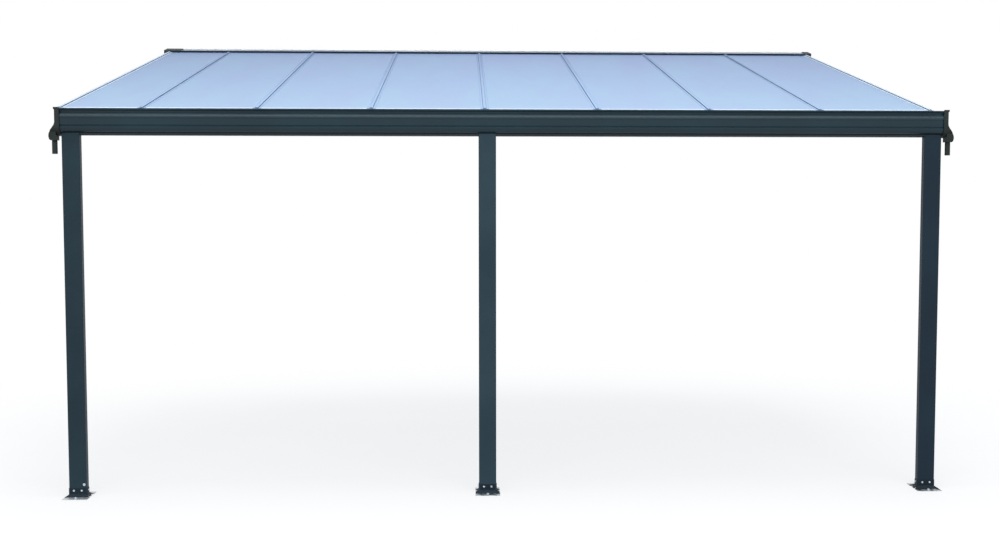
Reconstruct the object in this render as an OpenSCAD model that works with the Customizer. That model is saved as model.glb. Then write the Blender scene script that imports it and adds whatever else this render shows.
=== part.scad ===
// Lean-to patio cover: wall rail, nine rafters with glazing caps, eight
// multi-wall roof sheets, a curved front gutter on three posts.
// Millimetres, +Z up, +X along the wall, +Y towards the wall.
// Origin on the wall face behind the wall rail.

/* [Overall] */
// Width over the two gutter end caps
overall_width = 5440; // [4800:10:6100]
// Wall face to the front lip of the gutter
projection = 3050; // [2600:10:3500]
// Height of the gutter's underside above the ground
gutter_underside = 2176; // [1900:2:2500]
// Slope of the roof in degrees
roof_slope = 12; // [8:0.5:16]

/* [Roof bays] */
// Width of the narrow bay on the left as a share of each of the other seven
left_bay_share = 0.704; // [0.6:0.01:1]
// First rafter to the outer end of the left gutter end cap
left_margin = 55; // [45:1:90]
// Last rafter to the outer end of the right gutter end cap
right_margin = 135; // [120:1:200]
// Set-back of the sheets' low ends from the gutter lip
sheet_setback = 55; // [45:1:65]
// Height of the sheets' top face at the low end above the gutter's underside
sheet_height = 162; // [158:1:170]

/* [Roof sheets] */
// Thickness of a sheet
sheet = 8; // [6:1:10]
// Thickness of a sheet's outer skins
skin = 0.8; // [0.6:0.1:1]
// Thickness of the ribs between the skins
rib = 0.6; // [0.4:0.1:0.8]
// Distance between ribs
flute = 11; // [10:0.5:14]
// Clearance from a sheet's edge to the middle of its rafter
sheet_edge = 4; // [3.5:0.5:6]
// Length of the closure strips' legs on the sheets
closure_leg = 22; // [15:1:30]
// Thickness of the closure strips
closure = 1.5; // [1:0.1:2]

/* [Rafters] */
// Depth of a rafter below the sheets
rafter_depth = 50; // [40:1:60]
// Width of a rafter's top flange
rafter_flange = 50; // [46:1:56]
// Width of a rafter's box
rafter_box = 24; // [20:1:30]
// Wall of a rafter
rafter_wall = 2; // [1.6:0.1:2.5]
// Width of a glazing cap
cap_width = 45; // [40:1:46]
// Rise of a glazing cap's rib above the sheets
cap_rise = 9; // [7:0.5:10]
// Width of a glazing cap's rib
cap_rib = 16; // [12:1:20]

/* [Wall rail] */
// Reach of the wall rail's hood from the wall
rail_reach = 85; // [70:1:100]
// Height of the hood's front lip above the sheets
rail_lip = 16; // [14:0.5:20]
// Wall of the rail
rail_wall = 3; // [2.5:0.1:4]
// Rise of the rail's flashing leg above the hood
rail_leg = 6; // [4:1:20]
// Drop of the rail's fixing leg below the shelf
rail_drop = 40; // [34:1:50]
// How far the rail runs past the outer rafters' flanges
rail_over = 16; // [8:1:24]
// Length of the left end hood
left_hood = 130; // [80:5:160]
// Length of the right end hood
right_hood = 50; // [30:5:80]
// Hole for a wall fixing
wall_hole_d = 9; // [8:0.5:12]
// Distance between wall fixings
wall_hole_pitch = 700; // [600:10:720]

/* [Gutter] */
// Height of the gutter at its front lip
gutter_height = 158; // [150:1:170]
// Front-to-back size of the gutter
gutter_depth = 120; // [115:1:135]
// Wall of the gutter
gutter_wall = 3; // [2.5:0.1:3.5]
// Radius of the lower curve of the front
lower_curve = 32; // [28:1:34]
// Radius of the upper roll of the front
upper_roll = 48; // [44:1:52]
// Width of the top lip
lip_width = 22; // [16:1:26]

/* [Gutter end caps] */
// Wall of an end cap
cap_wall = 3; // [2.5:0.1:3.5]
// How far an end cap reaches over the gutter
cap_grip = 24; // [18:1:30]
// How far the hopper flares out beyond the neck
hopper_flare = 40; // [34:1:46]
// Depth of the hopper below the gutter
hopper_drop = 31; // [24:1:36]
// Hopper's length along the gutter at its floor
hopper_floor = 47; // [44:1:54]
// Hopper's size from front to back
hopper_depth = 50; // [44:1:60]
// Outside diameter of a spout
spout_d = 32; // [28:1:36]
// Bore of a spout
spout_bore = 27; // [22:1:28]
// Outer end of the end cap to the middle of its spout
spout_inset = 28; // [26:0.5:30]
// Length of a spout
spout_length = 80; // [60:1:100]

/* [Posts and feet] */
// Width of a post
post_width = 105; // [90:1:115]
// Front-to-back size of a post
post_depth = 50; // [44:1:72]
// Wall of a post
post_wall = 2.5; // [2:0.1:4]
// Corner radius of a post
post_corner = 6; // [4:0.5:8]
// Set-back of a post's front face from the gutter lip
post_setback = 30; // [28:0.5:31]
// Gap between an end cap's inner edge and the outer side of the end post
post_clear = 2; // [1:0.5:40]
// Middle post from the middle of the width
middle_post = -126; // [-200:2:200]
// Thickness of the foot brackets
foot_plate = 3; // [2.5:0.5:5]
// Height of a foot bracket
foot_height = 54; // [48:1:70]
// Rise and reach of the 45 degree flare at the front and back
foot_flare = 16; // [12:1:20]
// Front and back flanges beyond the flare
foot_flange = 58; // [40:1:70]
// Width of the front and back flanges
foot_width = 150; // [130:1:160]
// Rise and reach of the 45 degree flare at the sides
foot_side_flare = 12; // [8:1:14]
// Side flanges beyond the flare
foot_side_flange = 6; // [4:1:8]
// Screw holes in the foot brackets
foot_screw_d = 6.5; // [5:0.5:8]
// Distance between the two screws of a front or back bracket
foot_screw_pitch = 46; // [40:1:52]
// Ground anchor hole
anchor_d = 11; // [9:0.5:13]

/* [Hidden] */
$fn = 48;
tan_s = tan(roof_slope);
cos_s = cos(roof_slope);
sin_s = sin(roof_slope);
half_w = overall_width / 2;
lip_y = -projection;
low_y = lip_y + sheet_setback;
low_z = gutter_underside + sheet_height;
bay = (overall_width - left_margin - right_margin) / (7 + left_bay_share);
rafter_x = concat([-half_w + left_margin], [for (k = [7:-1:0]) half_w - right_margin - k * bay]);
gutter_end = half_w - hopper_flare - cap_wall;
cap_inner = gutter_end - cap_grip;
post_x = [-cap_inner + post_clear + post_width / 2, middle_post,
          cap_inner - post_clear - post_width / 2];
rafter_n = -sheet - rafter_depth;
lip_s = (-rail_reach - low_y) / cos_s;
sheet_length = (-rail_wall - 6 - low_y) / cos_s - sheet * tan_s;
rafter_start = 15;
rafter_end = (-rail_wall - 2 - low_y + rafter_n * sin_s) / cos_s;
rail_left = rafter_x[0] - rafter_flange / 2 - rail_over;
rail_right = rafter_x[8] + rafter_flange / 2 + rail_over;
rail_mid = (rail_left + rail_right) / 2;
shelf_reach = 60;
rail_foot = level(0, rafter_n - rail_wall)[1] - rail_drop;
rail_top = level(0, rail_lip)[1] + rail_leg;
hole_z = rail_foot + 16;
datum = hole_z;
front_top = 16;
cap_top = gutter_height + 6;
lower_c = [lower_curve + 4, lower_curve + 17];
hopper_front = 14;
spout_x = half_w - spout_inset;
spout_a = hopper_front + hopper_depth / 2;

// A point of the side view on the slope: s along it from the sheets' low end,
// n square to it from the sheets' top face.
function on_slope(s, n) = [low_y + s * cos_s - n * sin_s,
                           low_z + s * sin_s + n * cos_s];
// The point at depth y on the line at distance n from the sheets' top face.
function level(y, n) = [y, low_z + (y - low_y) * tan_s + n / cos_s];
// Points of a circular arc from angle a0 to a1.
function arc(c, r, a0, a1, n) =
    [for (i = [0:n]) [c[0] + r * cos(a0 + (a1 - a0) * i / n),
                      c[1] + r * sin(a0 + (a1 - a0) * i / n)]];
// Unit vector square to a step, on its left.
function left_of(p, q) = [p[1] - q[1], q[0] - p[0]] / norm(q - p);
// A path moved sideways by t with mitred corners.
function beside(path, t) = let (m = len(path) - 1)
    [for (i = [0:m])
        let (u = i == 0 ? left_of(path[0], path[1]) : left_of(path[i - 1], path[i]),
             v = i == m ? u : left_of(path[i], path[i + 1]))
        path[i] + (u + v) * (t / (1 + u * v))];

// The front and underside of the gutter, from the inner edge of the top lip,
// down the front, under, and up the back. First number: behind the lip plane,
// second: above the underside.
roll_h = gutter_height - 54;
groove_h = lower_c[1] + 7;
gutter_path = concat(
    [[lip_width, gutter_height], [0, gutter_height], [0, gutter_height - 8],
     [8, gutter_height - 13]],
    arc([upper_roll + 2, roll_h], upper_roll, 140, 180, 10),
    [[5, roll_h - 5], [5, groove_h + 5], [8.5, groove_h + 3], [8.5, groove_h], [4, groove_h - 4]],
    arc(lower_c, lower_curve, 180, 262, 14),
    [[35, 17], [33.5, 15], [33.5, 9], [36.5, 5], [43, 0]],
    arc([gutter_depth - 9, 9], 9, -90, 0, 6),
    [[gutter_depth, level(lip_y + gutter_depth, rafter_n)[1] - gutter_underside]]
);
gutter_shelf = [for (p = [[gutter_depth - 30, 0], [gutter_depth - 30, -3],
                          [gutter_depth - gutter_wall, -3]])
    level(lip_y + p[0], rafter_n + p[1]) - [lip_y, gutter_underside]];

module at_wall() { translate([0, 0, -datum]) children(); }
module on_roof() { at_wall() translate([0, low_y, low_z]) rotate([roof_slope, 0, 0]) children(); }
// Side view (y, z) drawn out along x from x0 to x1.
module along_x(x0, x1) {
    translate([x0, 0, 0]) rotate([90, 0, 90]) linear_extrude(x1 - x0) children();
}
// Cross-section (x, n) drawn out up the slope from s0 to s1.
module up_slope(s0, s1) {
    translate([0, s1, 0]) rotate([90, 0, 0]) linear_extrude(s1 - s0) children();
}
module hole_y(x, z, d) { translate([x, 10, z]) rotate([90, 0, 0]) cylinder(h = 40, d = d); }

module wall_rail() {
    web = -rail_wall;
    color("DarkSlateGray") at_wall() difference() {
        along_x(rail_left, rail_right) polygon([
            [0, rail_foot], [0, rail_top], [web, rail_top],
            level(web, rail_lip), on_slope(lip_s, rail_lip), on_slope(lip_s, 0),
            on_slope(lip_s + rail_wall, 0), on_slope(lip_s + rail_wall, rail_lip - rail_wall),
            level(web, rail_lip - rail_wall), level(web, rafter_n),
            on_slope((-shelf_reach - low_y) / cos_s, rafter_n),
            on_slope((-shelf_reach - low_y) / cos_s, rafter_n - 12),
            on_slope((-shelf_reach - low_y) / cos_s + rail_wall, rafter_n - 12),
            on_slope((-shelf_reach - low_y) / cos_s + rail_wall, rafter_n - rail_wall),
            level(web, rafter_n - rail_wall), [web, rail_foot]
        ]);
        for (i = [-3.5:1:3.5]) hole_y(rail_mid + i * wall_hole_pitch, hole_z, wall_hole_d);
    }
}

// Hood over one end of the wall rail: top, front leg and end plate.
module rail_hood(x_end, x_in) {
    t = 3;
    color("Black") at_wall() {
        along_x(min(x_end, x_in), max(x_end, x_in)) polygon([
            level(-rail_wall - 1, rail_lip), level(-rail_wall - 1, rail_lip + t),
            on_slope(lip_s - t + 4, rail_lip + t), on_slope(lip_s - t, rail_lip + t - 4),
            on_slope(lip_s - t, cap_rise + 1),
            on_slope(lip_s, cap_rise + 1), on_slope(lip_s, rail_lip)
        ]);
        along_x(min(x_end, x_end + sign(x_end) * t), max(x_end, x_end + sign(x_end) * t)) polygon([
            level(-1, rafter_n - 12), level(-1, rail_lip + t),
            on_slope(lip_s - t + 4, rail_lip + t), on_slope(lip_s - t, rail_lip + t - 4),
            on_slope(lip_s - t, -4), on_slope(lip_s + 30, rafter_n - 12)
        ]);
    }
}
module wall_rail_cap_left() { rail_hood(rail_left, rail_left + left_hood); }
module wall_rail_cap_right() { rail_hood(rail_right, rail_right - right_hood); }

module rafter(i) {
    h = rafter_depth;
    color("DarkSlateGray") on_roof() translate([rafter_x[i], 0, 0]) difference() {
        up_slope(rafter_start, rafter_end) union() {
            translate([-rafter_flange / 2, -sheet - 2.5]) square([rafter_flange, 2.5]);
            translate([-rafter_box / 2, rafter_n]) square([rafter_box, h - 1]);
        }
        up_slope(rafter_start - 1, rafter_end + 1)
            translate([-rafter_box / 2 + rafter_wall, rafter_n + rafter_wall])
            square([rafter_box - 2 * rafter_wall, h - 2.5 - rafter_wall]);
    }
}
module rafter_1() { rafter(0); }
module rafter_2() { rafter(1); }
module rafter_3() { rafter(2); }
module rafter_4() { rafter(3); }
module rafter_5() { rafter(4); }
module rafter_6() { rafter(5); }
module rafter_7() { rafter(6); }
module rafter_8() { rafter(7); }
module rafter_9() { rafter(8); }

// Glazing cap: a thin strip on the sheets' edges with a crowned rib along its
// middle and a stem that stands on the rafter. side is -1 or 1 on an outer
// rafter, where the cap's outer leg closes the edge.
module glazing_cap(i, side) {
    w = cap_width / 2;
    r = cap_rib / 2;
    rise = 1.5;
    crown = (r * r + rise * rise) / (2 * rise);
    half = asin(r / crown);
    color("LightSteelBlue") on_roof() translate([rafter_x[i], 0, 0])
        up_slope(-2, lip_s - 0.3) union() {
            polygon(concat([[-r, 2.5], [-w, 1.5], [-w, 0], [w, 0], [w, 1.5], [r, 2.5]],
                arc([0, cap_rise - crown], crown, 90 - half, 90 + half, 8)));
            translate([-2.5, -sheet]) square([5, sheet + 1]);
            if (side != 0) translate([side > 0 ? w - 2.5 : -w, -sheet]) square([2.5, sheet + 1]);
        }
}
module glazing_cap_1() { glazing_cap(0, -1); }
module glazing_cap_2() { glazing_cap(1, 0); }
module glazing_cap_3() { glazing_cap(2, 0); }
module glazing_cap_4() { glazing_cap(3, 0); }
module glazing_cap_5() { glazing_cap(4, 0); }
module glazing_cap_6() { glazing_cap(5, 0); }
module glazing_cap_7() { glazing_cap(6, 0); }
module glazing_cap_8() { glazing_cap(7, 0); }
module glazing_cap_9() { glazing_cap(8, 1); }

// Multi-wall sheet of bay i: two skins joined by ribs, so each flute is an
// open channel from the low end to the high end.
module roof_sheet(i) {
    x0 = rafter_x[i] + sheet_edge;
    w = rafter_x[i + 1] - sheet_edge - x0;
    n = floor((w - rib) / flute);
    step = (w - rib) / n;
    color("LightBlue", 0.8) on_roof() translate([x0, 0, 0]) up_slope(0, sheet_length) difference() {
        translate([0, -sheet]) square([w, sheet]);
        for (k = [0:n - 1]) translate([rib + k * step, -sheet + skin])
            square([step - rib, sheet - 2 * skin]);
    }
}
module roof_panel_1() { roof_sheet(0); }
module roof_panel_2() { roof_sheet(1); }
module roof_panel_3() { roof_sheet(2); }
module roof_panel_4() { roof_sheet(3); }
module roof_panel_5() { roof_sheet(4); }
module roof_panel_6() { roof_sheet(5); }
module roof_panel_7() { roof_sheet(6); }
module roof_panel_8() { roof_sheet(7); }

// Closure strips: one channel over the low end of each sheet, between rafters.
module closure_strips() {
    color("LightSteelBlue") on_roof() for (i = [0:7]) {
        x0 = rafter_x[i] + rafter_flange / 2 + 1;
        w = rafter_x[i + 1] - rafter_flange / 2 - 1 - x0;
        translate([x0, 0, 0]) rotate([90, 0, 90]) linear_extrude(w) polygon([
            [-closure, -sheet - closure], [closure_leg, -sheet - closure],
            [closure_leg, -sheet], [0, -sheet], [0, 0], [closure_leg, 0],
            [closure_leg, closure], [-closure, closure]
        ]);
    }
}

// Front gutter: one extrusion with a rolled front, a groove, a lower curve and
// a shelf along the back on which the rafters rest.
module gutter() {
    inside = beside(gutter_path, gutter_wall);
    color("DarkSlateGray") at_wall() along_x(-gutter_end, gutter_end)
        translate([lip_y, gutter_underside]) polygon(concat(gutter_path, gutter_shelf,
            [for (i = [len(inside) - 2:-1:0]) inside[i]]));
}

// Side outline of an end cap's sleeve round the gutter, grown by g.
function sleeve_side(g) = concat(
    [[-g, cap_top], [-g, lower_c[1] + 4]],
    arc(lower_c, lower_c[0] + g, 185, 240, 8),
    [[34 - g, -g], [gutter_depth + g, -g], [gutter_depth + g, 98], [50, 98], [50, cap_top]]
);
// Side outline of an end cap beyond the gutter's end, grown by g, with the
// hopper's floor at height b.
function hopper_side(g, b) = concat(
    [[-g, cap_top], [-g, lower_c[1] + 4]],
    arc(lower_c, lower_c[0] + g, 185, 212, 4),
    [[hopper_front - g, 20], [hopper_front - g, b], [hopper_front + hopper_depth + g, b],
     [hopper_front + hopper_depth + g, -g], [gutter_depth + g, -g],
     [gutter_depth + g, 98], [50, 98], [50, cap_top]]
);
// Front outline of the flare from the neck to the widest point, moved by d.
function flare(d) = [for (k = [0:8])
    [half_w - hopper_flare * (1 + cos(22.5 * k)) / 2 + d, 78 - 78 * k / 8]];
// A front view (x, z) drawn out through the whole depth of an end cap.
module front_view() {
    translate([0, lip_y + gutter_depth + 40, gutter_underside]) rotate([90, 0, 0])
        linear_extrude(gutter_depth + 80) children();
}
module side_view(x0, x1) { along_x(x0, x1) translate([lip_y, gutter_underside]) children(); }

// End cap: a sleeve round the gutter's end, a body that widens into a hopper
// below it, made by cutting a side outline with a front outline, and a spout.
module gutter_cap(m) {
    t = cap_wall;
    c = 0.3;
    neck = gutter_end + t;
    floor_in = half_w - hopper_floor;
    floor_z = -hopper_drop;
    spout_z = gutter_underside - hopper_drop - spout_length;
    color("DimGray") at_wall() mirror([m, 0, 0]) difference() {
        union() {
            intersection() {
                side_view(cap_inner, neck) polygon(sleeve_side(c + t));
                front_view() polygon([[cap_inner, cap_top], [cap_inner, 2], [neck, 2], [neck, cap_top]]);
            }
            intersection() {
                side_view(floor_in, half_w) polygon(hopper_side(c + t, floor_z));
                front_view() polygon(concat(
                    [[gutter_end + c, cap_top], [neck, cap_top]], flare(0),
                    [[half_w, -10], [half_w - 4, floor_z + 6], [half_w - 12, floor_z],
                     [floor_in, floor_z], [floor_in, -c], [gutter_end + c, -c]]));
            }
            // rim round the top of the neck
            intersection() {
                side_view(cap_inner, neck + 6) polygon(sleeve_side(c + t));
                front_view() polygon([[cap_inner, cap_top], [cap_inner, cap_top - 9],
                    [neck + 1, cap_top - 15], [neck + 6, cap_top - 9], [neck + 6, cap_top]]);
            }
            translate([spout_x, lip_y + spout_a, spout_z]) cylinder(h = spout_length + 1, d = spout_d);
        }
        // room for the gutter's end, open at the top
        side_view(cap_inner - 1, gutter_end + c)
            polygon(concat([[-c, cap_top + 5]], [for (p = sleeve_side(c)) if (p[1] < 98) p],
                [[gutter_depth + c, cap_top + 5]]));
        // way for the water out of the gutter's end and down into the hopper
        intersection() {
            side_view(gutter_end, gutter_end + c + 2.5) polygon(sleeve_side(c));
            front_view() polygon(concat([[gutter_end, 76]], flare(-t), [[half_w, -c], [gutter_end, -c]]));
        }
        intersection() {
            side_view(floor_in + t, half_w - t) polygon(hopper_side(c, floor_z + t));
            front_view() polygon(concat([[gutter_end + c + 2, 60]], [for (p = flare(-t)) if (p[1] < 60) p],
                [[half_w - t, -10], [half_w - 12, floor_z + t], [floor_in + t, floor_z + t],
                 [floor_in + t, -c - 2], [gutter_end + c + 2, -c - 2]]));
        }
        translate([spout_x, lip_y + spout_a, spout_z - 1]) cylinder(h = spout_length + 10, d = spout_bore);
    }
}
module gutter_cap_left() { gutter_cap(1); }
module gutter_cap_right() { gutter_cap(0); }

// Post: a hollow extrusion under the gutter; its front wall runs up in front
// of the gutter's foot to the lower curve.
module post_outline(g) {
    r = post_corner - g;
    x = post_width / 2 - g - r;
    polygon(concat(
        arc([x, post_depth - g - r], r, 0, 90, 6), arc([-x, post_depth - g - r], r, 90, 180, 6),
        arc([-x, g + r], r, 180, 270, 6), arc([x, g + r], r, 270, 360, 6)));
}
module post(i) {
    color("DarkSlateGray") at_wall() translate([post_x[i], lip_y + post_setback, 0]) {
        difference() {
            union() {
                linear_extrude(gutter_underside) post_outline(0);
                translate([0, 0, gutter_underside - 5]) intersection() {
                    linear_extrude(front_top + 5) post_outline(0);
                    translate([-post_width, 0, 0]) cube([2 * post_width, post_wall, 100]);
                }
            }
            translate([0, 0, -1]) linear_extrude(gutter_underside + 100) post_outline(post_wall);
        }
    }
}
module post_left() { post(0); }
module post_middle() { post(1); }
module post_right() { post(2); }

// One foot bracket standing off the face y = 0 towards -y: leaf, flare f,
// flange, and screw holes through the leaf at the places in screws.
module bracket(leaf_w, flange_w, f, flange, screws) {
    t = foot_plate;
    k = t * tan(22.5);
    tip = -f - t - flange;
    difference() {
        intersection() {
            translate([-100, 0, 0]) rotate([90, 0, 90]) linear_extrude(200) polygon([
                [0, foot_height], [-t, foot_height], [-t, t + f + k], [-t - f, t + k],
                [-t - f - k, t], [tip, t], [tip, 0], [-t - f + k - 2, 0], [0, t + f - 2]
            ]);
            union() {
                translate([-leaf_w / 2, -t, t + f]) cube([leaf_w, t, foot_height]);
                translate([0, 0, -1]) linear_extrude(t + f + 2) polygon([
                    [-leaf_w / 2, 0], [-leaf_w / 2, -t], [-flange_w / 2, -t - f],
                    [-flange_w / 2, tip], [flange_w / 2, tip], [flange_w / 2, -t - f],
                    [leaf_w / 2, -t], [leaf_w / 2, 0]
                ]);
            }
        }
        for (x = screws) translate([x, 1, foot_height - 14])
            rotate([90, 0, 0]) cylinder(h = t + 2, d = foot_screw_d);
        if (flange > 30) translate([0, -f - t - flange / 2, -1]) cylinder(h = t + 2, d = anchor_d);
    }
}
module foot_brackets(i) {
    wide = post_width - 2 * post_corner;
    narrow = post_depth - 2 * post_corner;
    pair = [-foot_screw_pitch / 2, foot_screw_pitch / 2];
    color("DarkSlateGray") at_wall() translate([post_x[i], lip_y + post_setback, 0]) {
        bracket(wide, foot_width, foot_flare, foot_flange, pair);
        translate([0, post_depth, 0]) rotate([0, 0, 180])
            bracket(wide, foot_width, foot_flare, foot_flange, pair);
        for (s = [-1, 1]) translate([s * post_width / 2, post_depth / 2, 0]) rotate([0, 0, s * 90])
            bracket(narrow, narrow, foot_side_flare, foot_side_flange, [0]);
    }
}
module foot_brackets_left() { foot_brackets(0); }
module foot_brackets_middle() { foot_brackets(1); }
module foot_brackets_right() { foot_brackets(2); }

wall_rail();
wall_rail_cap_left();
wall_rail_cap_right();
rafter_1();
rafter_2();
rafter_3();
rafter_4();
rafter_5();
rafter_6();
rafter_7();
rafter_8();
rafter_9();
glazing_cap_1();
glazing_cap_2();
glazing_cap_3();
glazing_cap_4();
glazing_cap_5();
glazing_cap_6();
glazing_cap_7();
glazing_cap_8();
glazing_cap_9();
roof_panel_1();
roof_panel_2();
roof_panel_3();
roof_panel_4();
roof_panel_5();
roof_panel_6();
roof_panel_7();
roof_panel_8();
closure_strips();
gutter();
gutter_cap_left();
gutter_cap_right();
post_left();
post_middle();
post_right();
foot_brackets_left();
foot_brackets_middle();
foot_brackets_right();
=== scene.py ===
import math
import bpy
import numpy as np
from mathutils import Matrix, Vector


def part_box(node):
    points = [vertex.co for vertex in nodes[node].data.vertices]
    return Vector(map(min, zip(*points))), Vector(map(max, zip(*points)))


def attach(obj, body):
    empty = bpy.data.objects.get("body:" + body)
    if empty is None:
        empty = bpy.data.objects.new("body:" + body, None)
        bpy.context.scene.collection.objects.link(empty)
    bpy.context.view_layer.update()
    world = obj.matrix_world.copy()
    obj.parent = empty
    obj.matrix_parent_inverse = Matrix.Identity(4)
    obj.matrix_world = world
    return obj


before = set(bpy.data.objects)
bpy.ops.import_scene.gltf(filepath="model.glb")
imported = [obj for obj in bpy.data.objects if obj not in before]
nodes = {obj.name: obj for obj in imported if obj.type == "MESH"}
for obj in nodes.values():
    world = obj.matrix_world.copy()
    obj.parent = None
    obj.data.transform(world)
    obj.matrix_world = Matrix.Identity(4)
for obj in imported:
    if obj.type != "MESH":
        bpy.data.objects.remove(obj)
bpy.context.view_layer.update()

# Wall rail, rafters, gutter and posts.
# Extruded aluminium, powder coated in anthracite: satin, glossier on the rail, matt on the posts.
# The coat has a fine orange-peel skin, a slow change of tone and uneven gloss.


def lin(code):
    """Linear colour of an sRGB hex code: each channel c becomes ((c + 0.055) / 1.055) ^ 2.4,
    or c / 12.92 near black."""
    c = np.array([int(code[i:i + 2], 16) for i in (0, 2, 4)]) / 255
    c = np.where(c <= 0.04045, c / 12.92, ((c + 0.055) / 1.055) ** 2.4)
    return (*c.tolist(), 1.0)


def add(tree, kind, inputs=(), stops=(), **settings):
    """A shader node of that kind in the tree with its settings. inputs maps a socket's name or
    number to a value, to another node's output, or to a node whose first output is linked.
    stops are a colour ramp's (position, hex code) pairs."""
    n = tree.nodes.new("ShaderNode" + kind)
    for k, v in settings.items():
        setattr(n, k, v)
    for k, v in dict(inputs).items():
        v = v.outputs[0] if isinstance(v, bpy.types.Node) else v
        if isinstance(v, bpy.types.NodeSocket):
            tree.links.new(v, n.inputs[k])
        else:
            n.inputs[k].default_value = v
    for i, (position, code) in enumerate(stops):
        e = n.color_ramp.elements[i] if i < 2 else n.color_ramp.elements.new(position)
        e.position, e.color = position, lin(code)
    return n


def new_finish(name):
    """An empty node material, its node tree and its Object coordinates in metres."""
    m = bpy.data.materials.new(name)
    m.use_nodes = True
    m.node_tree.nodes.clear()
    return m, m.node_tree, add(m.node_tree, "TexCoord").outputs["Object"]


def powder_coat(name, dark, light, rough, peel, gloss):
    """Powder coat: a slow noise moves the colour from dark to light and the gloss a little, and
    a fine noise with peel bumps to the metre lifts the skin by a fifth of a millimetre. gloss
    is the strength of its clear reflection."""
    m, tree, co = new_finish(name)
    slow = add(tree, "TexNoise", {"Vector": co, "Scale": 1.7, "Detail": 4.0, "Roughness": 0.6})
    fine = add(tree, "TexNoise", {"Vector": co, "Scale": peel, "Detail": 2.0})
    add(tree, "OutputMaterial", {"Surface": add(tree, "BsdfPrincipled", {
        "Base Color": add(tree, "ValToRGB", {"Fac": slow}, [(0.3, dark), (0.7, light)]),
        "Roughness": add(tree, "MapRange", {"Value": slow, "To Min": rough - 0.04, "To Max": rough + 0.06}),
        "Normal": add(tree, "Bump", {"Height": fine, "Strength": 0.12, "Distance": 0.0002}),
        "Specular IOR Level": gloss})})
    return m


def dress(names, finish):
    """The CAD nodes of those names take the finish in their one material slot."""
    for n in names:
        d = nodes[n].data
        d.materials.clear()
        d.materials.append(finish)


dress(["gutter"] + [f"rafter_{i}" for i in range(1, 10)],
      powder_coat("aluminium_powder_coated", "162c35", "1c3640", 0.34, 900.0, 0.3))
dress(["wall_rail"], powder_coat("aluminium_powder_coated_gloss", "0c1a2a", "112236", 0.16, 500.0, 0.5))
# Painted light and shade: the three posts are one coat, but the middle post's tones are lighter and the right
# post's darker, for how the light falls on each.
POST_SHADED_TONES = {"left": ("26363e", "2e4049"), "middle": ("2f404a", "394c56"), "right": ("212e39", "273844")}
for side, tones in POST_SHADED_TONES.items():
    dress([f"post_{side}"], powder_coat(f"aluminium_powder_coated_matt_{side}", *tones, 0.42, 900.0, 0.12))
posts = [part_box(f"post_{side}") for side in POST_SHADED_TONES]

# Foot brackets.
# Bent steel plate, zinc plated and coated, screwed to the posts and anchored to the ground. Away
# from the posts the flanges' coat is trodden through to bright zinc, most at the left foot.
PLATE = 0.003
ground = posts[0][0][2]
plate_coat = powder_coat("steel_plate_zinc_plated_and_coated", "121e27", "1a2833", 0.5, 700.0, 0.2)
tree = plate_coat.node_tree
co = tree.nodes["Texture Coordinate"].outputs["Object"]
coated = tree.nodes["Principled BSDF"]
at = add(tree, "SeparateXYZ", {"Vector": co}).outputs


def outside(value, low, high):
    """How far value lies outside the range from low to high: its distance from the middle of
    the range, less half the range."""
    off = add(tree, "Math", {0: value, 1: (low + high) / 2}, operation="SUBTRACT")
    off = add(tree, "Math", {0: off}, operation="ABSOLUTE")
    return add(tree, "Math", {0: off, 1: (high - low) / 2}, operation="SUBTRACT")


beside = outside(at["X"], posts[0][0][0], posts[0][1][0])
for lo, hi in posts[1:]:
    beside = add(tree, "Math", {0: beside, 1: outside(at["X"], lo[0], hi[0])}, operation="MINIMUM")
before = outside(at["Y"], posts[0][0][1], posts[0][1][1])
away = add(tree, "Math", {0: beside, 1: before}, operation="MAXIMUM")
trodden = add(tree, "MapRange", {
    "Value": away, "From Min": 0.018, "From Max": 0.055, "To Min": -0.12, "To Max": 0.05})
at_left_foot = add(tree, "MapRange", {
    "Value": at["X"], "From Min": -1.6, "From Max": -1.0, "To Min": 0.22, "To Max": 0.0})
patches = add(tree, "TexNoise", {"Vector": co, "Scale": 34.0, "Detail": 5.0, "Roughness": 0.65})
patches = add(tree, "Math", {0: patches, 1: trodden}, operation="ADD")
patches = add(tree, "Math", {0: patches, 1: at_left_foot}, operation="ADD")
bare = add(tree, "MapRange", {"Value": patches, "From Min": 0.42, "From Max": 0.50})
on_flange = add(tree, "MapRange", {
    "Value": at["Z"], "From Min": ground + PLATE + 0.0004, "From Max": ground + PLATE - 0.0002})
worn = add(tree, "Math", {0: on_flange, 1: bare}, operation="MULTIPLY")
metal = add(tree, "BsdfPrincipled", {
    "Base Color": add(tree, "ValToRGB", {"Fac": patches}, [(0.42, "a4abb0"), (0.66, "f2f4f6")]),
    "Roughness": add(tree, "MapRange", {"Value": patches, "To Min": 0.25, "To Max": 0.5}), "Metallic": 0.7})
both = add(tree, "MixShader", {0: worn, 1: coated, 2: metal})
tree.links.new(both.outputs[0], tree.nodes["Material Output"].inputs["Surface"])
dress([f"foot_brackets_{side}" for side in POST_SHADED_TONES], plate_coat)

# Roof sheets.
# Extruded twin-wall polycarbonate, pale blue, milky and a little see-through, laid on the rafters.
# Its flutes show as faint lines, and its tone deepens towards the wall as painted shade.
FLUTE = 0.011
LOW_END, WALL_END = -2.99, -0.08


def slope_shade(tree, co, stops):
    """A colour that goes from the low end of the roof to the wall by (share, hex code) stops. Stops that
    darken towards the wall paint shade there.
    """
    y = add(tree, "SeparateXYZ", {"Vector": co}).outputs["Y"]
    share = add(tree, "MapRange", {"Value": y, "From Min": LOW_END, "From Max": WALL_END})
    return add(tree, "ValToRGB", {"Fac": share}, stops)


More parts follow.
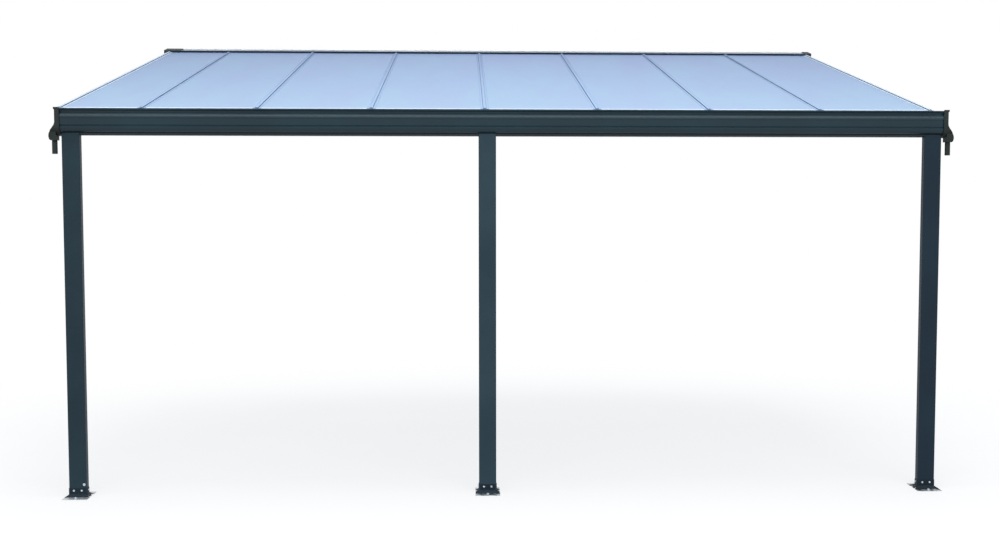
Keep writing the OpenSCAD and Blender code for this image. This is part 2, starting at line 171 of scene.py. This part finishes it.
sheet, tree, co = new_finish("polycarbonate_twin_wall")
x = add(tree, "SeparateXYZ", {"Vector": co}).outputs["X"]
turns = add(tree, "Math", {0: x, 1: 2 * math.pi / FLUTE}, operation="MULTIPLY")
flutes = add(tree, "Math", {0: turns}, operation="SINE")
ribs = add(tree, "MapRange", {"Value": flutes, "From Min": 0.86, "From Max": 1.0, "To Max": 0.10})
drawn = add(tree, "Mapping", {"Vector": co, "Scale": (2.6, 0.9, 0.9)})
haze = add(tree, "TexNoise", {"Vector": drawn, "Scale": 1.0, "Detail": 4.0, "Roughness": 0.6})
clouds = add(tree, "ValToRGB", {"Fac": haze}, [(0.38, "a3cbe0"), (0.62, "a9b4da")])
tint = slope_shade(tree, co, [(0.0, "bad1e6"), (0.45, "a7beda"), (1.0, "92a5c5")])
tint = add(tree, "Mix", {"Factor": 0.22, 6: tint, 7: clouds}, data_type="RGBA").outputs[2]
tint = add(tree, "Mix", {"Factor": ribs, 6: tint, 7: lin("7f93b6")}, data_type="RGBA").outputs[2]
skin = add(tree, "BsdfPrincipled", {
    "Base Color": tint,
    "Roughness": add(tree, "MapRange", {"Value": haze, "To Min": 0.30, "To Max": 0.38}),
    "Normal": add(tree, "Bump", {"Height": flutes, "Strength": 0.15, "Distance": 0.0003}),
    "IOR": 1.58, "Specular IOR Level": 0.05})
milky = add(tree, "MixShader", {0: 0.30, 1: skin, 2: add(tree, "BsdfTranslucent", {"Color": tint})})
clear = add(tree, "BsdfTransparent", {"Color": lin("e6effa")})
add(tree, "OutputMaterial", {"Surface": add(tree, "MixShader", {0: 0.10, 1: milky, 2: clear})})
dress([f"roof_panel_{i}" for i in range(1, 9)], sheet)

# Glazing caps and closure strips.
# Extruded polycarbonate of the sheets' tint, pressed down on the sheets' edges and low ends.
# Faint draw lines run the way they were extruded.
ALONG_SLOPE, ALONG_WALL = (260.0, 1.2, 260.0), (1.2, 260.0, 260.0)


def pale_plastic(name, stops, rough, scale):
    """Pale extruded plastic: a noise with about 260 lines to the metre, stretched along the
    extrusion, darkens the colour a little and moves the gloss. stops are the colour's from the
    roof's low end to the wall, and scale is the noise's along X, Y and Z."""
    m, tree, co = new_finish(name)
    stretch = add(tree, "Mapping", {"Vector": co, "Scale": scale})
    draw = add(tree, "TexNoise", {"Vector": stretch, "Scale": 1.0, "Detail": 3.0})
    share = add(tree, "MapRange", {"Value": draw, "To Max": 0.3})
    tint = add(tree, "Mix", {"Factor": share, 6: slope_shade(tree, co, stops), 7: lin("7d90ac")},
               data_type="RGBA").outputs[2]
    add(tree, "OutputMaterial", {"Surface": add(tree, "BsdfPrincipled", {
        "Base Color": tint,
        "Roughness": add(tree, "MapRange", {"Value": draw, "To Min": rough - 0.04, "To Max": rough + 0.05}),
        "Normal": add(tree, "Bump", {"Height": draw, "Strength": 0.1, "Distance": 0.0002}),
        "IOR": 1.58, "Specular IOR Level": 0.05})})
    return m


# Painted shade: the caps' stops darken towards the wall, as the sheets' do.
dress([f"glazing_cap_{i}" for i in range(2, 9)],
      pale_plastic("polycarbonate_glazing_cap", [(0.0, "95aecb"), (0.45, "839ab9"), (1.0, "64779a")], 0.45,
                   ALONG_SLOPE))
dress(["glazing_cap_1", "glazing_cap_9"],
      pale_plastic("polycarbonate_edge_cap", [(0.0, "c3d0dc"), (1.0, "aebccb")], 0.4, ALONG_SLOPE))
dress(["closure_strips"],
      pale_plastic("polycarbonate_closure_strip", [(0.0, "d6e5f6"), (1.0, "d6e5f6")], 0.28, ALONG_WALL))

# Gutter end caps and rail end hoods.
# Injection-moulded charcoal plastic, pushed over the ends of the extrusions. Its finely sparked
# skin, with a grain of 0.7 mm, breaks up the highlights.
mould, tree, co = new_finish("plastic_moulded_charcoal")
spark = add(tree, "TexVoronoi", {"Vector": co, "Scale": 1400.0})
slow = add(tree, "TexNoise", {"Vector": co, "Scale": 9.0, "Detail": 3.0})
add(tree, "OutputMaterial", {"Surface": add(tree, "BsdfPrincipled", {
    "Base Color": add(tree, "ValToRGB", {"Fac": slow}, [(0.3, "232928"), (0.7, "303634")]),
    "Roughness": add(tree, "MapRange", {"Value": slow, "To Min": 0.5, "To Max": 0.62}),
    "Normal": add(tree, "Bump", {"Height": spark, "Strength": 0.2, "Distance": 0.0002}),
    "Specular IOR Level": 0.2})})
dress(["gutter_cap_left", "gutter_cap_right", "wall_rail_cap_left", "wall_rail_cap_right"], mould)

# Glazing seals, painted shade.
# Dark extruded rubber, one strip up each side of every glazing cap's rib, and a clear grey lip at
# each edge of its strip, pressed on as the cap goes down. Both are dull and draw thin lines: their
# dark tone is painted shade, standing in for the shade lines beside each rib and along each edge.
SLOPE = math.radians(12)
SHEET = 0.008
lo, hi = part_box("roof_panel_2")
FOOT_OF_SLOPE = np.array([0, lo[1], lo[2] + SHEET * math.cos(SLOPE)])


def put(name, verts, faces, finish):
    """A mesh object of those points and faces at the origin, riding on the part."""
    me = bpy.data.meshes.new(name)
    me.from_pydata(np.asarray(verts, float).tolist(), [], faces)
    me.materials.append(finish)
    me.update()
    ob = bpy.data.objects.new(name, me)
    bpy.context.scene.collection.objects.link(ob)
    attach(ob, "root")


def join(parts):
    """One list of points and faces from several: each part's face numbers move on by the count
    of points before it."""
    counts = np.cumsum([0] + [len(v) for v, f in parts])
    faces = [[i + int(k) for i in q] for k, (v, f) in zip(counts, parts) for q in f]
    return np.concatenate([v for v, f in parts]), faces


def ring_faces(rings, n):
    """Faces of a row of rings with n points each: between ring k and ring k + 1 the quad of
    points i and i + 1, and the first and last rings closed by one face each."""
    i = np.arange(n)
    j = (i + 1) % n
    k = np.arange(rings - 1)[:, None] * n
    quads = np.stack([k + i, k + j, k + n + j, k + n + i], 2).reshape(-1, 4)
    return quads.tolist() + [i[::-1].tolist(), (i + (rings - 1) * n).tolist()]


def up_roof(section, x, length):
    """A closed section (across, above the sheets), read anticlockwise, at x and drawn up the
    roof: a point at s along the slope and n above it lies at
    (s cos a - n sin a, s sin a + n cos a) from the slope's foot."""
    sec = np.asarray(section, float)[::-1]
    across = np.tile(sec[:, 0] + x, 2)
    n = np.tile(sec[:, 1], 2)
    s = np.repeat([0.0, length], len(sec))
    c, sn = math.cos(SLOPE), math.sin(SLOPE)
    pts = np.stack([across, s * c - n * sn, s * sn + n * c], 1) + FOOT_OF_SLOPE
    return pts, ring_faces(2, len(sec))


# Painted shade: this dark rubber draws the shade line beside each cap's rib.
shade_line_rubber, tree, co = new_finish("rubber_extruded_seal")
grain = add(tree, "TexNoise", {"Vector": co, "Scale": 420.0, "Detail": 2.0})
add(tree, "OutputMaterial", {"Surface": add(tree, "BsdfPrincipled", {
    "Base Color": add(tree, "ValToRGB", {"Fac": grain}, [(0.3, "37434f"), (0.7, "465461")]),
    "Roughness": add(tree, "MapRange", {"Value": grain, "To Min": 0.6, "To Max": 0.75}),
    "Normal": add(tree, "Bump", {"Height": grain, "Strength": 0.2, "Distance": 0.0001}),
    "Specular IOR Level": 0.3})})
# Painted shade: these grey lips draw the faint shade lines along each cap's edges.
shade_line_lip = pale_plastic("rubber_clear_lip", [(0.0, "8fa6c2"), (1.0, "74879f")], 0.6, ALONG_SLOPE)
RIB_SIDE = np.array([[0.0081, 0.0026], [0.0094, 0.0025], [0.0092, 0.0068], [0.0081, 0.0072]])
EDGE_LIP = np.array([[0.0226, 0.0002], [0.0246, 0.0002], [0.0240, 0.0008], [0.0226, 0.0011]])
strips, lips = [], []
for i in range(1, 10):
    lo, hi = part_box(f"glazing_cap_{i}")
    middle = (lo[0] + hi[0]) / 2
    length = (hi[1] - lo[1]) / math.cos(SLOPE) - 0.004
    strips.append(up_roof(RIB_SIDE, middle, length))
    strips.append(up_roof((RIB_SIDE * (-1, 1))[::-1], middle, length))
    if i != 9:
        lips.append(up_roof(EDGE_LIP, middle, length))
    if i != 1:
        lips.append(up_roof((EDGE_LIP * (-1, 1))[::-1], middle, length))
put("glazing_seals", *join(strips), shade_line_rubber)
put("glazing_lips", *join(lips), shade_line_lip)

# Wall sealant.
# A bead of pale silicone with a soft sheen, pressed into the corner between the rail's hood and
# its upstand, where it meets the wall.
silicone, tree, co = new_finish("silicone_sealant_pale")
lumps = add(tree, "TexNoise", {"Vector": co, "Scale": 60.0, "Detail": 2.0})
add(tree, "OutputMaterial", {"Surface": add(tree, "BsdfPrincipled", {
    "Base Color": add(tree, "ValToRGB", {"Fac": lumps}, [(0.3, "dfe4e8"), (0.7, "eef2f5")]),
    "Roughness": add(tree, "MapRange", {"Value": lumps, "To Min": 0.35, "To Max": 0.5}),
    "Normal": add(tree, "Bump", {"Height": lumps, "Strength": 0.3, "Distance": 0.0005})})})
BEAD = np.array([[-0.0032, 0.0], [-0.0080, -0.0012], [-0.0070, 0.0022], [-0.0050, 0.0042], [-0.0032, 0.0050]])
UPSTAND = 0.0056
LEFT_HOOD, RIGHT_HOOD = 0.135, 0.055
lo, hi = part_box("wall_rail")
bead = np.concatenate([np.column_stack([np.full(5, x), BEAD + (0, hi[2] - UPSTAND)])
                       for x in (lo[0] + LEFT_HOOD, hi[0] - RIGHT_HOOD)])
put("wall_sealant", bead, ring_faces(2, 5), silicone)

# Foot bracket screws.
# Zinc-plated hexagon washer-head screws into the posts: two through each front and back leaf, one
# through each side leaf. The plating glints in cells a little under 2 mm wide.


def turned(profile, at, axis, across_flats):
    """Rings (radius, height, 1 for a hexagon or 0) turned round an axis through the point at.
    A hexagon ring's radius at an angle t from the nearest flat is the smaller of its own and
    half of across_flats / cos t."""
    z = Vector(axis)
    x = Vector((0, 0, 1)) if abs(z.z) < 0.9 else Vector((1, 0, 0))
    turn = np.array([x, z.cross(x), z])
    r, h, flat = np.array(profile, float).T
    ang = np.arange(24) * math.pi / 12
    nearest = (ang + math.pi / 6) % (math.pi / 3) - math.pi / 6
    cut = np.minimum(r[:, None], across_flats / 2 / np.cos(nearest))
    rad = np.where(flat[:, None] > 0, cut, r[:, None])
    pts = np.stack([rad * np.cos(ang), rad * np.sin(ang), np.broadcast_to(h[:, None], rad.shape)], 2)
    return pts.reshape(-1, 3) @ turn + np.array(at), ring_faces(len(profile), 24)


zinc, tree, co = new_finish("steel_zinc_plated")
cells = add(tree, "TexVoronoi", {"Vector": co, "Scale": 600.0}).outputs["Color"]
tone = add(tree, "SeparateXYZ", {"Vector": cells})
add(tree, "OutputMaterial", {"Surface": add(tree, "BsdfPrincipled", {
    "Base Color": add(tree, "ValToRGB", {"Fac": tone}, [(0.1, "b9c3cb"), (0.9, "d8e0e7")]),
    "Roughness": add(tree, "MapRange", {"Value": tone, "To Min": 0.32, "To Max": 0.5}),
    "Normal": add(tree, "Bump", {"Height": tone, "Strength": 0.15, "Distance": 0.0002}),
    "Metallic": 0.85})})
SCREW = [(0.0030, -0.0029, 0), (0.0030, 0.0, 0), (0.0060, 0.0001, 0), (0.0060, 0.0009, 0),
         (0.0055, 0.0013, 0), (0.0050, 0.0014, 1), (0.0050, 0.0038, 1), (0.0044, 0.0046, 1),
         (0.0036, 0.0047, 0), (0.0032, 0.0042, 0)]
SCREW_FLATS, SCREW_HEIGHT, SCREW_OFF_MIDDLE = 0.0080, 0.040, 0.023
parts = []
for lo, hi in posts:
    x, y = (lo[0] + hi[0]) / 2, (lo[1] + hi[1]) / 2
    z = lo[2] + SCREW_HEIGHT
    for k in (-SCREW_OFF_MIDDLE, SCREW_OFF_MIDDLE):
        parts.append(turned(SCREW, (x + k, lo[1] - PLATE, z), (0, -1, 0), SCREW_FLATS))
        parts.append(turned(SCREW, (x + k, hi[1] + PLATE, z), (0, 1, 0), SCREW_FLATS))
    parts.append(turned(SCREW, (lo[0] - PLATE, y, z), (-1, 0, 0), SCREW_FLATS))
    parts.append(turned(SCREW, (hi[0] + PLATE, y, z), (1, 0, 0), SCREW_FLATS))
put("foot_bracket_screws", *join(parts), zinc)

# Ground anchors.
# Zinc-plated anchor bolts with a washer and a hexagon nut, one through each
# front and back flange into the ground.
ANCHOR = [(0.0053, -0.0028, 0), (0.0053, 0.0, 0), (0.0100, 0.0001, 0), (0.0100, 0.0014, 0),
          (0.0095, 0.0016, 0), (0.0080, 0.0017, 1), (0.0084, 0.0024, 1), (0.0084, 0.0052, 1),
          (0.0076, 0.0060, 1), (0.0052, 0.0061, 0), (0.0047, 0.0062, 0), (0.0047, 0.0078, 0),
          (0.0040, 0.0086, 0)]
ANCHOR_FLATS, ANCHOR_OFF_POST = 0.0150, 0.048
put("ground_anchors", *join([
    turned(ANCHOR, ((lo[0] + hi[0]) / 2, y, ground + PLATE), (0, 0, 1), ANCHOR_FLATS)
    for lo, hi in posts for y in (lo[1] - ANCHOR_OFF_POST, hi[1] + ANCHOR_OFF_POST)]), zinc)

# Bolt on the left post.
# A larger zinc-plated hexagon bolt with a washer above the bracket, near the
# post's inner front edge. It is the only one on the three posts.
BOLT = [(0.0085, 0.0001, 0), (0.0085, 0.0015, 0), (0.0080, 0.0018, 0), (0.0066, 0.0019, 1),
        (0.0070, 0.0026, 1), (0.0070, 0.0060, 1), (0.0062, 0.0068, 1), (0.0046, 0.0069, 0)]
BOLT_FLATS, BOLT_FROM_EDGE, BOLT_HEIGHT = 0.0125, 0.014, 0.076
lo, hi = posts[0]
put("left_post_bolt",
    *turned(BOLT, (hi[0] - BOLT_FROM_EDGE, lo[1], lo[2] + BOLT_HEIGHT), (0, -1, 0), BOLT_FLATS), zinc)

# Wall fixings.
# Eight zinc-plated coach screws with washers, evenly spaced, through the rail's
# lower leg into the wall.
COACH = [(0.0042, -0.0028, 0), (0.0042, 0.0, 0), (0.0110, 0.0001, 0), (0.0110, 0.0019, 0),
         (0.0075, 0.0020, 1), (0.0078, 0.0028, 1), (0.0078, 0.0070, 1), (0.0070, 0.0078, 1),
         (0.0050, 0.0079, 0)]
COACH_FLATS, FIXING_PITCH, RAIL_WALL = 0.0130, 0.7, 0.003
lo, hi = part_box("wall_rail")
fixings = (lo[0] + hi[0]) / 2 + (np.arange(8) - 3.5) * FIXING_PITCH
put("wall_fixings",
    *join([turned(COACH, (x, -RAIL_WALL, 0.0), (0, -1, 0), COACH_FLATS) for x in fixings]), zinc)

# Floor.
# A plain pale studio floor that carries the shadows and turns to the
# background's white away from the part. It sends up only a paving's light.
FAR = 60
me = bpy.data.meshes.new("studio_floor")
me.from_pydata([(-FAR, -FAR, ground), (FAR, -FAR, ground), (FAR, FAR, ground), (-FAR, FAR, ground)], [],
               [(0, 1, 2, 3)])
floor = bpy.data.objects.new("studio_floor", me)
bpy.context.scene.collection.objects.link(floor)


def seen(tree):
    """1 for a ray from the camera, a reflection or a clear sheet, and 0 for plain light."""
    path = add(tree, "LightPath").outputs
    both = add(tree, "Math", {0: path["Is Camera Ray"], 1: path["Is Glossy Ray"]}, operation="MAXIMUM")
    return add(tree, "Math", {0: both, 1: path["Is Transmission Ray"]}, operation="MAXIMUM")


paint, tree, co = new_finish("floor_painted_matt")
from_middle = add(tree, "VectorMath", {0: co, 1: (0.0, 2.2, -ground)}, operation="ADD")
shares = add(tree, "VectorMath", {0: from_middle, 1: (0.20, 0.24, 0.0)}, operation="MULTIPLY")
away = add(tree, "VectorMath", {0: shares}, operation="LENGTH").outputs["Value"]
edge = add(tree, "MapRange", {
    "Value": away, "From Min": 0.55, "From Max": 1.25, "To Min": 0.7, "To Max": 1.0},
    interpolation_type="SMOOTHSTEP")
cloud = add(tree, "TexNoise", {"Vector": co, "Scale": 1.5, "Detail": 3.0})
tone = add(tree, "ValToRGB", {"Fac": cloud}, [(0.3, "fafafa"), (0.7, "fdfdfd")])
matt = add(tree, "BsdfDiffuse", {"Color": tone})
white = add(tree, "Emission", {"Color": (1.0, 1.0, 1.0, 1.0), "Strength": 1.0})
pale = add(tree, "MixShader", {0: edge, 1: matt, 2: white})
paving = add(tree, "BsdfDiffuse", {"Color": lin("8e918e")})
add(tree, "OutputMaterial", {"Surface": add(tree, "MixShader", {0: seen(tree), 1: paving, 2: pale})})
me.materials.append(paint)

# Background and lights.
# White where the camera, a reflection or a clear sheet looks past the part, a
# soft pale sky for light, and large soft lamps above and to the sides.
world = bpy.data.worlds.new("studio")
bpy.context.scene.world = world
world.use_nodes = True
tree = world.node_tree
tree.nodes.clear()
up = add(tree, "SeparateXYZ", {"Vector": add(tree, "TexCoord").outputs["Generated"]}).outputs["Z"]
height = add(tree, "MapRange", {"Value": up, "To Min": 0.5, "To Max": 1.0})
sky = add(tree, "ValToRGB", {"Fac": height}, [(0.5, "c9ccd0"), (0.75, "e3e9f1"), (1.0, "eef3fa")])
soft = add(tree, "Background", {"Color": sky, "Strength": 0.75})
plain = add(tree, "Background", {"Color": (1.0, 1.0, 1.0, 1.0), "Strength": 1.0})
add(tree, "OutputWorld", {"Surface": add(tree, "MixShader", {0: seen(tree), 1: soft, 2: plain})})


def lamp(name, place, target, width, height, watts, code):
    """A soft lamp of that width and height at place that faces target."""
    d = bpy.data.lights.new(name, "AREA")
    d.shape, d.size, d.size_y = "RECTANGLE", width, height
    d.energy, d.color = watts, lin(code)[:3]
    ob = bpy.data.objects.new(name, d)
    ob.location = place
    ob.rotation_euler = (Vector(target) - Vector(place)).to_track_quat("-Z", "Y").to_euler()
    bpy.context.scene.collection.objects.link(ob)


lamp("key", (0.2, -10.5, 4.9), (0.1, -3, -0.7), 12.4, 1.5, 540, "f6fbff")
lamp("fill", (-7.5, -6.5, 2.5), (-1, -3, -1), 4.0, 4.0, 90, "fffaf2")
lamp("top", (0.5, -1.5, 6.5), (0, -1.5, 0), 6.0, 6.0, 440, "f4f8ff")

# Camera.
# At eye height in front of the open side, turned and tilted as the photo was
# taken. The shift stands for the photo's crop, which is off its middle.
FRAME_PX, SENSOR = 999, 36.0
f_px, yaw, pitch, roll = 1286.71, 0.046, 0.0649, 0.0007
fwd = Vector((math.cos(pitch) * math.sin(yaw), math.cos(pitch) * math.cos(yaw), -math.sin(pitch)))
right = Vector((math.cos(yaw), -math.sin(yaw), 0))
up = right.cross(fwd)
turned_right = right * math.cos(roll) + up * math.sin(roll)
turned_up = up * math.cos(roll) - right * math.sin(roll)
pose = Matrix((turned_right, turned_up, -fwd)).transposed().to_4x4()
pose.translation = (-0.2636, -10.7977, -0.99744)
cam_data = bpy.data.cameras.new("photo_camera")
cam_data.sensor_fit, cam_data.sensor_width = "HORIZONTAL", SENSOR
cam_data.lens = SENSOR * f_px / FRAME_PX
cam_data.shift_x, cam_data.shift_y = -0.02436, -0.00626
cam_data.clip_end = 200.0
cam = bpy.data.objects.new("photo_camera", cam_data)
cam.matrix_world = pose
bpy.context.scene.collection.objects.link(cam)
bpy.context.scene.camera = cam
bpy.context.scene.view_settings.view_transform = "Standard"
